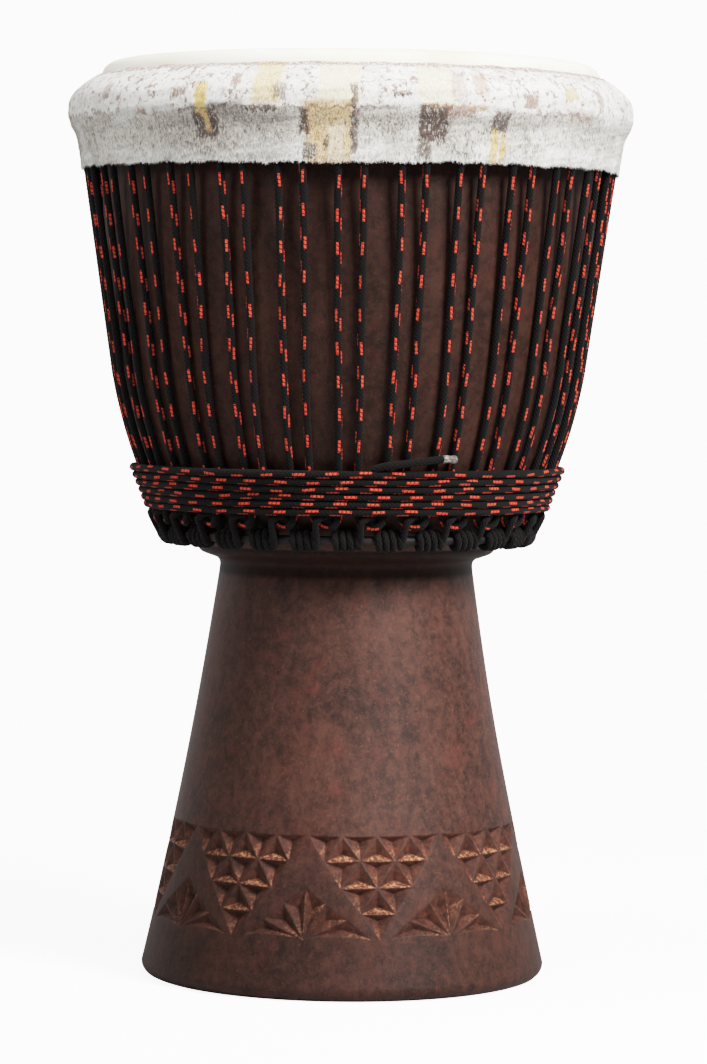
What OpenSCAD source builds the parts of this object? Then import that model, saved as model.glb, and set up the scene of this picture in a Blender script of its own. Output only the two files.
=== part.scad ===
// Djembe: a carved goblet shell with a goat skin head, three steel rings and one long tuning rope.
// Origin at the centre of the foot, +Z up, -Y is the front. Millimetres.

/* [Shell] */
// Outer radius of the straight rim at the top of the bowl
rim_r = 163; // [160:0.5:164]
// Height of the top of the wooden bearing edge
rim_top_z = 598.7; // [598:0.1:598.7]
// Radius of the rounded bearing edge
edge_round = 9; // [6:0.5:10]
// Wall thickness of the bowl
bowl_wall = 14; // [11:0.5:18]
// Outer radius of the stem just below the bowl
waist_r = 83.7; // [82:0.1:84]
// Height where the flare of the stem starts
waist_z = 267.5; // [262:0.5:269]
// Inner radius of the throat between bowl and stem
throat_r = 60; // [50:1:66]
// Radius of the long arc of the flared stem
flare_arc_r = 3030; // [2900:10:3200]
// Slope of the stem at the waist, degrees from vertical
flare_start = 8.3; // [8:0.1:8.6]
// Radius of the rounded outer corner of the foot
foot_round = 8; // [4:1:9]
// Wall thickness of the stem at the foot
foot_wall = 19; // [14:1:24]

/* [Carving] */
// Number of times the carved pattern repeats round the foot
carve_repeats = 8; // [8:1:8]
// Direction of the first carved triangle, degrees round from the front
carve_turn = 11; // [0:1:44]
// Height of the lower edge of the carved band
carve_low_z = 39; // [36:1:42]
// Height of one row of small triangles
carve_row_h = 16.25; // [15:0.25:16.5]
// Rows of small triangles in each large one
carve_rows = 4; // [2:1:4]
// Depth of each small pit
carve_depth = 4; // [2:0.5:5]

/* [Head] */
// Thickness of the skin over the bowl
head_t = 1.2; // [1:0.1:1.2]
// Thickness of the folded collar skin
collar_t = 1.1; // [0.9:0.1:1.1]
// Height of the lower edge of the collar
hem_z = 529.5; // [526:0.5:532]

/* [Rings] */
// Radius of the rod of the flesh ring and of the bottom ring
thin_rod = 3; // [2.5:0.1:3]
// Radius of the rod of the crown ring
crown_rod = 3; // [2.8:0.1:3]
// Radius of the plain cord hitched round the rings
cord_rod = 2.25; // [2:0.05:2.25]

/* [Rope] */
// Radius of the tuning rope
rope_rod = 2.5; // [2.2:0.05:2.5]
// Number of hitches on each ring, one for each pair of ropes
loops = 28; // [28:1:28]
// Half the angle between the two ropes of a pair
pair_half = 2.6; // [2.5:0.05:2.7]
// Turns of rope wound round the foot of the bowl
wrap_turns = 6; // [3:1:6]
// Rise from one turn to the next
wrap_pitch = 4.8; // [4.78:0.01:4.85]

/* [Hidden] */
$fn = 96;
gap = 0.1;
loop_pitch = 360 / loops;
between_half = loop_pitch / 2 - pair_half;
// The bowl below the rim is three arcs; each is [radius, slope in degrees where it ends].
rim_low_z = 540;
bowl_arcs = [[816, 10], [330, 24], [100, 51]];
// Distance of the ropes' centre line from the wood
rope_off = rope_rod + 0.5;
// Top of the straight ropes, just outside the flesh ring: [radius, height]
rope_high = [176.1, 553];
rope_bend_foot = [176.6, 558.1];
crown_at = [176, 572.4];
crown_loop_drop = 6;
flesh_at = [168.9, 553.4];
bottom_ring_slope = 40.3;
bottom_ring_off = 7.9;
// Ends of a bridge of cord, as a share of the half gap between pairs
bridge_reach = 1.37;
wrap_low_z = 310.8;

// ---- arcs and places ----

// Start slope of bowl arc i
function arc_start(i) = i == 0 ? 0 : bowl_arcs[i - 1][1];
// Point where bowl arc i begins, as [radius, height]
function arc_begin(i) = i == 0 ? [rim_r, rim_low_z] : on_arc(i - 1, arc_start(i), 0);
// Centre of bowl arc i in the radial plane
function arc_centre(i) =
    arc_begin(i) - bowl_arcs[i][0] * [cos(arc_start(i)), -sin(arc_start(i))];
// Point on arc i at slope t, off millimetres outside the wood
function on_arc(i, t, off) = arc_centre(i) + (bowl_arcs[i][0] + off) * [cos(t), -sin(t)];
// Which arc holds slope t
function arc_of(t) = t <= bowl_arcs[0][1] ? 0 : t <= bowl_arcs[1][1] ? 1 : 2;
// Point of the bowl at slope t, off millimetres outside the wood
function on_bowl(t, off) = on_arc(arc_of(t), t, off);
// Slope of arc i at height z, off millimetres outside the wood
function slope_on(i, z, off) = asin((arc_centre(i)[1] - z) / (bowl_arcs[i][0] + off));
// Radius at height z, off millimetres outside the lower bowl
function bowl_r(z, off) =
    let (low = slope_on(2, z, off), high = slope_on(1, z, off))
    low > bowl_arcs[1][1] ? on_arc(2, low, off)[0] : on_arc(1, high, off)[0];
// Radius of the stem at height z
function stem_r(z) =
    let (a = asin(sin(flare_start) + (waist_z - z) / flare_arc_r))
    waist_r + flare_arc_r * (cos(flare_start) - cos(a));
// Three-dimensional place of [radius, height] at a direction, degrees round from the front
function place(turn, p) = [p[0] * sin(turn), -p[0] * cos(turn), p[1]];
// Direction of hitch k and of the gap that follows it
function hitch_turn(k) = 0.3 + k * loop_pitch;
function gap_turn(k) = hitch_turn(k) + loop_pitch / 2;

function unit(v) = v / norm(v);

// Moves its children from the radial plane (X out, Z up) to a direction round the drum
module at_turn(turn) { rotate([0, 0, turn - 90]) children(); }

// Straight round bar from a to b
module bar(a, b, r) {
    d = b - a;
    translate(a)
    rotate([0, acos(d[2] / norm(d)), atan2(d[1], d[0])])
    cylinder(h = norm(d), r = r);
}

// Bend of a path at point b, between a and c, degrees
function kink(a, b, c) = acos(min(1, (b - a) * (c - b) / (norm(b - a) * norm(c - b))));
// How far bars stop short of a bend so that they don't meet each other inside its ball
function trim(a, b, c, r) = r * tan(kink(a, b, c) / 2) + gap;

// Bar from b to c of a path a, b, c, d, with the ball that fills the bend at b
module rope_link(a, b, c, d, r) {
    along = (c - b) / norm(c - b);
    near = trim(a, b, c, r);
    bar(b + along * near, c - along * trim(b, c, d, r), r);
    translate(b) sphere(r = norm([r, near]) + 0.01);
}

// Open rope through points; its two ends are flat
module rope_path(points, r) {
    last = len(points) - 1;
    straight_on = [2 * points[0] - points[1], 2 * points[last] - points[last - 1]];
    all = concat([straight_on[0]], points, [straight_on[1]]);
    for (i = [1 : last])
        rope_link(all[i - 1], all[i], all[i + 1], all[i + 2], r);
    bar(points[last] - gap * 2 * unit(points[last] - points[last - 1]), points[last], r);
}

// Closed round bar with its centre line at [radius, height]
module hoop(p, r) {
    rotate_extrude($fn = 180) translate(p) circle(r = r, $fn = 32);
}

// Sheet of thickness t turned about Z, its middle running through points of [radius, height]
module turned_sheet(points, t) {
    last = len(points) - 1;
    function ahead(i) = points[min(i + 1, last)] - points[max(i - 1, 0)];
    function side(i) = [-ahead(i)[1], ahead(i)[0]] / norm(ahead(i)) * t / 2;
    left = [for (i = [0 : last]) points[i] + side(i)];
    right = [for (i = [last : -1 : 0]) points[i] - side(i)];
    rotate_extrude($fn = 180) polygon(concat(left, right));
}

// ---- shell ----

function outer_profile() = concat(
    [for (a = [90 : -15 : 0])
        [rim_r - edge_round + edge_round * cos(a), rim_top_z - edge_round + edge_round * sin(a)]],
    [for (t = [0 : 2 : 8]) on_bowl(t, 0)],
    [for (t = [10 : 2 : 22]) on_bowl(t, 0)],
    [for (t = [24 : 3 : 51]) on_bowl(t, 0)],
    [[97.6, 281.6], [95.3, 279.4], [90, 277.4], [84.2, 274.8], [83.3, 271.5]],
    [for (z = [waist_z : -12.5 : 17.5]) [stem_r(z), z]],
    [for (a = [0 : -15 : -90])
        [stem_r(foot_round) - foot_round + foot_round * cos(a), foot_round + foot_round * sin(a)]]
);

function inner_profile() = concat(
    [[stem_r(0) - foot_wall, 0]],
    [for (z = [30 : 30 : 240]) [throat_r + (stem_r(z) - foot_wall - throat_r) * (1 - pow(z / 270, 2)), z]],
    [[throat_r, 262], [throat_r, 276], [64, 286]],
    [for (t = [47 : -3 : 26]) on_bowl(t, -bowl_wall)],
    [for (t = [22 : -3 : 1]) on_bowl(t, -bowl_wall)],
    [[rim_r - bowl_wall, rim_low_z], [rim_r - bowl_wall, rim_top_z - 3], [rim_r - bowl_wall + 3, rim_top_z]]
);

// Cut with a sloping facet below each edge; deep and corners are [direction, height],
// with the corners running clockwise seen from outside
module facet_cut(corners, deep) {
    proud = 1;
    grow = 0.95 * (carve_depth + proud) / carve_depth;
    n = len(corners);
    rims = [for (c = corners)
        let (g = deep + (c - deep) * grow)
        place(g[0], [stem_r(g[1]) + proud, g[1]])];
    floor_point = place(deep[0], [stem_r(deep[1]) - carve_depth, deep[1]]);
    top_point = place(deep[0], [stem_r(deep[1]) + 4 * proud, deep[1]]);
    polyhedron(
        concat(rims, [floor_point, top_point]),
        concat([for (i = [0 : n - 1]) [i, (i + 1) % n, n + 1]], [for (i = [0 : n - 1]) [(i + 1) % n, i, n]])
    );
}

module pit(corners) {
    facet_cut(corners, (corners[0] + corners[1] + corners[2]) / 3);
}

// Large triangle, point down, filled with rows of small pits
module carved_triangle(turn) {
    step = 360 / carve_repeats / carve_rows;
    top_z = carve_low_z + carve_rows * carve_row_h;
    for (row = [0 : carve_rows - 1]) {
        left = turn - step * carve_rows / 2 + row * step / 2;
        high = top_z - row * carve_row_h;
        low = high - carve_row_h;
        for (j = [0 : carve_rows - 1 - row])
            pit([[left + j * step, high], [left + (j + 1) * step, high], [left + (j + 0.5) * step, low]]);
        if (row < carve_rows - 1)
            for (j = [0 : carve_rows - 2 - row])
                pit([[left + (j + 1) * step, high], [left + (j + 1.5) * step, low], [left + (j + 0.5) * step, low]]);
    }
}

// Leaf-shaped chip that runs out from the foot of a fan; lean is measured up from level
module chip(turn, lean, length, half_width) {
    function spot(along, across) =
        let (x = along * cos(lean) - across * sin(lean), z = carve_low_z + along * sin(lean) + across * cos(lean))
        [turn + x / stem_r(z) * 180 / PI, z];
    facet_cut([spot(3, 0), spot(length * 0.6, half_width), spot(length, 0), spot(length * 0.6, -half_width)],
        spot(length * 0.6, 0));
}

// Fan of six chips between two large triangles
module carved_fan(turn) {
    for (lean = [74, 43, 14]) {
        length = lean == 14 ? 39 : 30;
        half_width = lean == 14 ? 3.6 : 5;
        chip(turn, lean, length, half_width);
        chip(turn, 180 - lean, length, half_width);
    }
}

module drum_shell() {
    color("saddlebrown")
    difference() {
        rotate_extrude($fn = 180) polygon(concat(outer_profile(), inner_profile()));
        for (k = [0 : carve_repeats - 1]) {
            turn = carve_turn + k * 360 / carve_repeats;
            carved_triangle(turn);
            carved_fan(turn + 180 / carve_repeats);
        }
    }
}

// ---- head ----

// Playing surface with the skirt that runs down inside the rings
module head_membrane() {
    lap = edge_round + gap;
    top = rim_top_z + gap;
    under = [for (a = [90 : -15 : 0])
        [rim_r - edge_round + lap * cos(a), rim_top_z - edge_round + lap * sin(a)]];
    over = [for (a = [0 : 15 : 90])
        [rim_r - edge_round + (lap + head_t) * cos(a), rim_top_z - edge_round + (lap + head_t) * sin(a)]];
    skirt_z = flesh_at[1] - 4;
    skirt = [[rim_r + gap, skirt_z], [rim_r + gap + head_t, skirt_z]];
    color("ivory")
    rotate_extrude($fn = 180)
        polygon(concat([[0, top]], under, skirt, over, [[0, top + head_t]]));
}

// Skin folded round the flesh ring, up behind the crown ring and down outside it as the collar
module head_collar() {
    wrap_r = thin_rod + gap + collar_t / 2;
    rise_r = rim_r + gap + head_t + 0.15 + collar_t / 2;
    round_ring = [for (a = [200 : 20 : 440]) flesh_at + wrap_r * [cos(a), sin(a)]];
    turn_up = [for (a = [265 : -17 : 180])
        [rise_r + 3, flesh_at[1] + wrap_r + 3] + 3 * [cos(a), sin(a)]];
    crease = [for (a = [180 : -24 : 60]) [rise_r + 1.6, 588.6] + 1.6 * [cos(a), sin(a)]];
    fall = [
        [172, 587], [177.4, 583.2], [181.9, 578.6], [184.4, 574.5], [184.95, 571.7], [184.95, 565],
        [183.1, 558.5], [179.8, 552.5], [178.7, 547], [177.5, 538.6], [176.3, hem_z]
    ];
    color("gainsboro")
    turned_sheet(concat(round_ring, turn_up, crease, fall), collar_t);
}

// ---- rings ----

module flesh_ring() {
    color("silver") hoop(flesh_at, thin_rod);
}

module crown_ring() {
    color("silver") hoop(crown_at, crown_rod);
}

module bottom_ring() {
    color("silver") hoop(on_bowl(bottom_ring_slope, bottom_ring_off), thin_rod);
}

// ---- cradle cords ----

// Long loop that hangs on the crown ring and holds the top bend of one pair of ropes
module crown_loop() {
    reach = crown_rod + gap + cord_rod;
    foot = crown_at - [0, crown_loop_drop];
    translate([crown_at[0], 0, crown_at[1]])
        rotate([90, 0, 0]) rotate_extrude(angle = 180) translate([reach, 0]) circle(r = cord_rod, $fn = 32);
    translate([foot[0], 0, foot[1]])
        rotate([90, 0, 0]) rotate([0, 0, 180])
        rotate_extrude(angle = 180) translate([reach, 0]) circle(r = cord_rod, $fn = 32);
    for (side = [-1, 1])
        translate([foot[0] + side * reach, 0, foot[1]]) cylinder(h = crown_loop_drop, r = cord_rod, $fn = 32);
}

module crown_cradle_cord() {
    runner_r = cord_rod - 0.35;
    color("#1c1a1c") {
        for (k = [0 : loops - 1]) at_turn(hitch_turn(k)) crown_loop();
        hoop(crown_at + [0, crown_rod + gap + cord_rod], runner_r);
    }
}

// Turn of cord round the rod of the bottom ring
module hitch_turn_ring() {
    p = on_bowl(bottom_ring_slope, bottom_ring_off);
    translate([p[0], 0, p[1]])
        rotate([90, 0, 0]) rotate_extrude() translate([thin_rod + gap + cord_rod, 0]) circle(r = cord_rod, $fn = 32);
}

// Cord from the front of one hitch, through the bend of rope above, to the back of the next hitch.
// Each row is [share of the half gap between pairs, slope of the bowl, distance from the wood].
module cradle_bridge(k) {
    shape = [
        [-bridge_reach, 38.3, 11.9], [-0.84, 32.2, 10.3], [-0.19, 30.6, 7.5], [0.58, 33.1, 2.5],
        [bridge_reach, 37.6, 5.2]
    ];
    rope_path([for (s = shape) place(gap_turn(k) + s[0] * between_half, on_bowl(s[1], s[2]))], cord_rod);
}

module bottom_cradle_cord() {
    hitch_half = loop_pitch / 2 - bridge_reach * between_half;
    color("#1c1a1c")
    for (k = [0 : loops - 1]) {
        at_turn(hitch_turn(k) - hitch_half) hitch_turn_ring();
        at_turn(hitch_turn(k) + hitch_half) hitch_turn_ring();
        cradle_bridge(k);
    }
}

// ---- tuning rope ----

// Stretch of one upright from the crown down to the slope where the bowl arc ends
function upright(turn) = concat(
    [place(turn, rope_bend_foot), place(turn, rope_high)],
    [for (t = [10 : 3.5 : 20.5]) place(turn, on_arc(1, t, rope_off))]
);

function backward(points) = [for (i = [len(points) - 1 : -1 : 0]) points[i]];

// Bend under the bridge of cord that joins pair k to the next.
// Each row is [share of the half gap between pairs, slope of the bowl, distance from the wood].
function bottom_bend(k) =
    let (shape = [
        [-1, 24.2, rope_off], [-1, 28.3, 3.5], [-0.97, 30.9, 4.1], [-0.64, 33.7, 5.2], [0, 34.9, 6.9],
        [0.62, 33.8, 8.6], [0.95, 31.5, 7.1], [1, 28.5, 3.6], [1, 24.2, rope_off]
    ])
    [for (s = shape) place(gap_turn(k) + s[0] * between_half, on_bowl(s[1], s[2]))];

// Bend over the crown loop that joins the two ropes of pair k, without its feet
function top_bend(k) =
    let (half = rope_bend_foot[0] * sin(pair_half), turn = hitch_turn(k))
    [for (a = [150 : -30 : 30])
        place(turn, [rope_bend_foot[0] * cos(pair_half), rope_bend_foot[1] + half * sin(a)])
            + half * cos(a) * [cos(turn), sin(turn), 0]];

// The rope from the top of pair k to the top of the next pair; all of these make one closed path
function lacing_stretch(k) = concat(
    top_bend(k), upright(hitch_turn(k) + pair_half), bottom_bend(k),
    backward(upright(hitch_turn(k + 1) - pair_half))
);

// Rope with six flat sides along a path. When closed, the last point joins the first.
// With edge_out 0 a side of the rope looks outwards, with 1 an edge does.
module rope_sweep(path, r, closed, edge_out) {
    n = len(path);
    sides = 6;
    function before(i) = closed ? path[(i + n - 1) % n] : path[max(i - 1, 0)];
    function after(i) = closed ? path[(i + 1) % n] : path[min(i + 1, n - 1)];
    function corner(i, j) =
        let (
            along = unit(after(i) - before(i)),
            out = unit([path[i][0], path[i][1], 0]),
            up = unit(out - (out * along) * along),
            a = (j + (1 - edge_out) / 2) * 360 / sides
        )
        path[i] + r * (cos(a) * up + sin(a) * cross(along, up));
    function spot(i, j) = (i % n) * sides + j % sides;
    skin = [for (i = [0 : closed ? n - 1 : n - 2], j = [0 : sides - 1], half = [0, 1])
        half == 0
            ? [spot(i, j), spot(i + 1, j), spot(i, j + 1)]
            : [spot(i, j + 1), spot(i + 1, j), spot(i + 1, j + 1)]];
    ends = closed ? [] : [
        [for (j = [0 : sides - 1]) spot(0, j)],
        [for (j = [sides - 1 : -1 : 0]) spot(n - 1, j)]
    ];
    polyhedron([for (i = [0 : n - 1], j = [0 : sides - 1]) corner(i, j)], concat(skin, ends));
}

module lacing_rope() {
    path = [for (k = [0 : loops - 1], p = lacing_stretch(k)) p];
    color("#241f22") rope_sweep(path, rope_rod, true, 0);
}

// Distance of turn k of the wrap from the wood; the lowest turns ride over the swelling bends
function wrap_off(k) = 2 * rope_off + 2.1 + (k == 0 ? 1 : k == 1 ? 0.4 : 0);
function wrap_at(k) = [bowl_r(wrap_low_z + k * wrap_pitch, wrap_off(k)), wrap_low_z + k * wrap_pitch];

// Six turns that step up one by one across the back of the drum
module wrap_rope() {
    cross_half = 14;
    step = 4.5;
    count = round((360 - 2 * cross_half) / step);
    path = [for (k = [0 : wrap_turns - 1])
        let (p = wrap_at(k), q = wrap_at(k + 1))
        each concat(
            [for (i = [0 : count]) place(180 + cross_half + i * (360 - 2 * cross_half) / count, p + [0.1, 0])],
            k == wrap_turns - 1 ? [] : [for (u = [-0.7 : 0.35 : 0.7])
                place(180 + u * cross_half, p + (q - p) * (1 + u) / 2 + [0.1, 0])]
        )];
    color("#241f22") rope_sweep(path, rope_rod, false, 1);
}

// Loose end of the rope, lying over the uprights just above the wrap
tail_turns = [9, 13, 17, 21, 24.5];
tail_low_z = wrap_low_z + wrap_turns * wrap_pitch + 0.8;
tail_rise = 5.5;
function tail_point(turn) =
    let (z = tail_low_z + tail_rise * (turn - tail_turns[0]) / 20)
    place(turn, [bowl_r(z, 2 * rope_off + 2.3), z]);

module rope_tail() {
    color("#241f22")
    rope_path([for (t = tail_turns) tail_point(t)], rope_rod);
}

module rope_tail_tip() {
    start = tail_point(24.5);
    end = tail_point(28.5);
    step = (end - start) / norm(end - start);
    color("lightgray") bar(start + step * 3 * gap, end, rope_rod + 0.2);
}

drum_shell();
head_membrane();
head_collar();
flesh_ring();
crown_ring();
crown_cradle_cord();
bottom_ring();
bottom_cradle_cord();
lacing_rope();
wrap_rope();
rope_tail();
rope_tail_tip();
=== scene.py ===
import math

import bpy
import numpy as np
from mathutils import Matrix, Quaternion, Vector


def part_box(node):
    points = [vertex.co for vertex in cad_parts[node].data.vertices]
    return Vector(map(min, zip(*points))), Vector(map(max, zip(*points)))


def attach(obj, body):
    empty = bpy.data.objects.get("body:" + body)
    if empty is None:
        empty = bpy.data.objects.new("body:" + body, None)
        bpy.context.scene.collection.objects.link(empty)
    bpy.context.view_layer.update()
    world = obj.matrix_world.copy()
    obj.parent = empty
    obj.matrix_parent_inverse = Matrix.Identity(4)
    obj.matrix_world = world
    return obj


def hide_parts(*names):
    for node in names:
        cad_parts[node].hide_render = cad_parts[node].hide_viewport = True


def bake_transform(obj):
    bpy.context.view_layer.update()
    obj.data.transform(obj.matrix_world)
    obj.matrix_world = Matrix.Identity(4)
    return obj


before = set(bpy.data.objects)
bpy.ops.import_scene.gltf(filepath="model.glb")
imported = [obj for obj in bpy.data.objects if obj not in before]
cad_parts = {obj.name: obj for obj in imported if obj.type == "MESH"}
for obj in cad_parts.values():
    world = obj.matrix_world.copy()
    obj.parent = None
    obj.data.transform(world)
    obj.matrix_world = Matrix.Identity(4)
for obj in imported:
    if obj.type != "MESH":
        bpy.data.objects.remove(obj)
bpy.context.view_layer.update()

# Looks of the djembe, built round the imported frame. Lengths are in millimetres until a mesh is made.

MM = 0.001
TAU = 2 * math.pi

# ---------------- sizes shared with the frame

RIM_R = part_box("head_membrane")[1].x / MM - 1.3
HEAD_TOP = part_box("head_membrane")[1].z / MM
SKIN = 1.2
EDGE_ROUND = 9.0
WALL = 14.0
BOWL_ARCS = ((816.0, 10.0), (330.0, 24.0), (100.0, 51.0))
RIM_LOW_Z = 540.0
WAIST_R, WAIST_Z = 83.7, 267.5
FLARE_R, FLARE_START = 3030.0, 8.3
THROAT_R = 60.0
FOOT_WALL, FOOT_ROUND = 19.0, 8.0
CARVE_LOW, CARVE_ROW, CARVE_ROWS, CARVE_REPEATS, CARVE_TURN = 39.0, 16.25, 4, 8, 11.0
ROPE = 2.5
ROPE_OFF = 3.0
CORD = 2.25
LOOPS = 28
PITCH = 360 / LOOPS
FIRST_PAIR = 0.3
PAIR_HALF = 2.6
GAP_HALF = PITCH / 2 - PAIR_HALF
CROWN_FOOT = (176.6, 558.1)
CROWN_KNEE = (176.1, 553.0)
RING_SLOPE, RING_OFF = 40.3, 7.9
WRAP_LOW, WRAP_RISE, WRAP_TURNS = 310.8, 4.8, 6
FLESH = (168.9, 553.4)


def bowl_centres():
    """Centres of the bowl's arcs in the radial plane, from the rim down."""
    centres, start, slope = [], np.array([RIM_R, RIM_LOW_Z]), 0.0
    for radius, end in BOWL_ARCS:
        a, b = math.radians(slope), math.radians(end)
        centre = start - radius * np.array([math.cos(a), -math.sin(a)])
        centres.append(centre)
        start, slope = centre + radius * np.array([math.cos(b), -math.sin(b)]), end
    return centres


CENTRES = bowl_centres()


def on_bowl(slope, off):
    """(radius, height) at a slope of the bowl in degrees, off outside the wood."""
    i = 0 if slope <= BOWL_ARCS[0][1] else 1 if slope <= BOWL_ARCS[1][1] else 2
    a = math.radians(slope)
    return CENTRES[i] + (BOWL_ARCS[i][0] + off) * np.array([math.cos(a), -math.sin(a)])


def bowl_radius(z, off):
    """Radius at height z, off outside the lower bowl."""
    for i in (2, 1):
        r = BOWL_ARCS[i][0] + off
        slope = math.asin((CENTRES[i][1] - z) / r)
        if i == 1 or slope > math.radians(BOWL_ARCS[1][1]):
            return CENTRES[i][0] + r * math.cos(slope)


def stem_radius(z):
    """Radius of the outside of the stem at a height."""
    start = math.radians(FLARE_START)
    a = np.arcsin(math.sin(start) + (WAIST_Z - z) / FLARE_R)
    return WAIST_R + FLARE_R * (math.cos(start) - np.cos(a))


def place(turn, r, z):
    """Point or points at a direction in degrees round from the front, radius and height."""
    a = np.radians(turn)
    return np.stack(np.broadcast_arrays(r * np.sin(a), -r * np.cos(a), z), -1)


def arc(r, z, radius, ways):
    """Points in the radial plane on an arc round (r, z), at ways in degrees, 0 outward and 90 up."""
    a = np.radians(ways)
    return np.stack([r + radius * np.cos(a), z + radius * np.sin(a)], -1)


def wobble(x, seed, waves, size):
    """Smooth wave in x (radians, closed over a turn) made of a few random waves, about +-size."""
    rng = np.random.default_rng(seed)
    total = np.zeros_like(np.asarray(x, float))
    for k in waves:
        total = total + rng.normal() * np.cos(k * x + rng.uniform(0, TAU))
    return size * total / math.sqrt(len(waves))


def smooth(edge0, edge1, x):
    t = np.clip((x - edge0) / (edge1 - edge0), 0, 1)
    return t * t * (3 - 2 * t)


# ---------------- meshes

def add_object(name, data):
    piece = bpy.data.objects.new(name, data)
    bpy.context.scene.collection.objects.link(piece)
    return piece


def build_mesh(name, points, faces, material, attributes=None):
    """Object from points in millimetres and a list of arrays of triangles or quads."""
    mesh = bpy.data.meshes.new(name)
    mesh.vertices.add(len(points))
    mesh.vertices.foreach_set("co", (np.asarray(points) * MM).astype(np.float32).ravel())
    sizes = np.concatenate([np.full(len(f), f.shape[1], np.int32) for f in faces])
    loops = np.concatenate([f.ravel() for f in faces]).astype(np.int32)
    mesh.loops.add(len(loops))
    mesh.loops.foreach_set("vertex_index", loops)
    mesh.polygons.add(len(sizes))
    starts = np.concatenate([[0], np.cumsum(sizes)[:-1]]).astype(np.int32)
    mesh.polygons.foreach_set("loop_start", starts)
    for key, values in (attributes or {}).items():
        layer = mesh.attributes.new(key, "FLOAT", "POINT")
        layer.data.foreach_set("value", np.asarray(values, np.float32).ravel())
    mesh.update(calc_edges=True)
    mesh.validate()
    mesh.shade_smooth()
    mesh.materials.append(material)
    return add_object(name, mesh)


def ring_quads(rows, cols, first=0, closed_rows=False):
    """Quads between rows of a grid whose columns close round the drum."""
    r = np.arange(rows if closed_rows else rows - 1)[:, None]
    c = np.arange(cols)[None, :]
    r2, c2 = (r + 1) % rows, (c + 1) % cols
    quads = np.stack([r * cols + c, r * cols + c2, r2 * cols + c2, r2 * cols + c], -1)
    return quads.reshape(-1, 4) + first


def resample(path, step, closed=False):
    """Points at an even spacing along a path, and their distance along it."""
    if closed:
        path = np.vstack([path, path[:1]])
    along = np.concatenate([[0], np.cumsum(np.linalg.norm(np.diff(path, axis=0), axis=1))])
    count = max(8, int(round(along[-1] / step)))
    s = np.linspace(0, along[-1], count + 1)
    points = np.stack([np.interp(s, along, path[:, i]) for i in range(3)], -1)
    return (points[:-1], s[:-1]) if closed else (points, s)


def spline(points, steps=12, closed=False):
    """Catmull-Rom curve through points."""
    p = np.asarray(points, float)
    if closed:
        p = np.vstack([p[-1:], p, p[:2]])
    else:
        p = np.vstack([2 * p[0] - p[1], p, 2 * p[-1] - p[-2]])
    t = np.linspace(0, 1, steps, endpoint=False)[:, None]
    out = []
    for a, b, c, d in zip(p[:-3], p[1:-2], p[2:-1], p[3:]):
        bend = (2 * a - 5 * b + 4 * c - d) * t ** 2 + (3 * b - a - 3 * c + d) * t ** 3
        out.append(0.5 * (2 * b + (c - a) * t + bend))
    if not closed:
        out.append(p[-2:-1])
    return np.vstack(out)


def headings(path, closed):
    """Unit vectors along a path."""
    ahead = np.roll(path, -1, 0) - np.roll(path, 1, 0)
    if not closed:
        ahead[0], ahead[-1] = path[1] - path[0], path[-1] - path[-2]
    return ahead / np.linalg.norm(ahead, axis=1)[:, None]


def carried_frames(path, closed):
    """Two side vectors at each point of a path, carried along it without twist."""
    ahead = headings(path, closed)
    side = np.zeros_like(path)
    start = np.array([path[0][0], path[0][1], 0.0])
    for i, t in enumerate(ahead):
        start = start - (start @ t) * t
        start = start / np.linalg.norm(start)
        side[i] = start
    other = np.cross(ahead, side)
    if closed:
        end = side[0] - (side[0] @ ahead[-1]) * ahead[-1]
        slip = math.atan2(end @ other[-1], end @ side[-1])
        a = slip * np.arange(len(path))[:, None] / len(path)
        side, other = side * np.cos(a) + other * np.sin(a), other * np.cos(a) - side * np.sin(a)
    return side, other


def outward_frames(path, closed):
    """Two side vectors at each point of a path; the first looks away from the drum's axis."""
    ahead = headings(path, closed)
    side = path * (1, 1, 0)
    side = side - np.sum(side * ahead, 1)[:, None] * ahead
    side /= np.linalg.norm(side, axis=1)[:, None]
    return side, np.cross(ahead, side)


BRAID_PITCH = 2.7
BRAID_LOBES = 6


def rope_mesh(name, path, radius, material, step=0.9, closed=False, relief=0.1, phase=0.0, taper=None,
              outward=True):
    """Braided rope along a path. Carries how far along and which way round, for the braid and the flecks."""
    sides = 2 * BRAID_LOBES
    path, s = resample(path, step, closed)
    side, other = outward_frames(path, closed) if outward else carried_frames(path, closed)
    angle = np.arange(sides) / sides * TAU
    braid = np.cos(TAU * s / BRAID_PITCH)[:, None] * np.cos(BRAID_LOBES * angle)[None, :]
    r = radius - relief + relief * braid
    if taper is not None:
        r = r * taper(s / s[-1])[:, None]
    points = path[:, None, :] + r[..., None] * (
        np.cos(angle)[None, :, None] * side[:, None, :] + np.sin(angle)[None, :, None] * other[:, None, :])
    rows = len(path)
    faces = [ring_quads(rows, sides, closed_rows=closed)]
    points = points.reshape(-1, 3)
    along = np.repeat(s, sides)
    cos_a, sin_a = np.tile(np.cos(angle + phase), rows), np.tile(np.sin(angle + phase), rows)
    if not closed:
        points = np.vstack([points, path[:1], path[-1:]])
        along = np.append(along, [0, s[-1]])
        cos_a, sin_a = np.append(cos_a, [0, 0]), np.append(sin_a, [0, 0])
        j = np.arange(sides)
        hub = rows * sides
        faces.append(np.stack([np.full(sides, hub), (j + 1) % sides, j], -1))
        last = (rows - 1) * sides
        faces.append(np.stack([np.full(sides, hub + 1), last + j, last + (j + 1) % sides], -1))
    return build_mesh(name, points, faces, material, {"along": along, "way_cos": cos_a, "way_sin": sin_a})


# ---------------- materials

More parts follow.
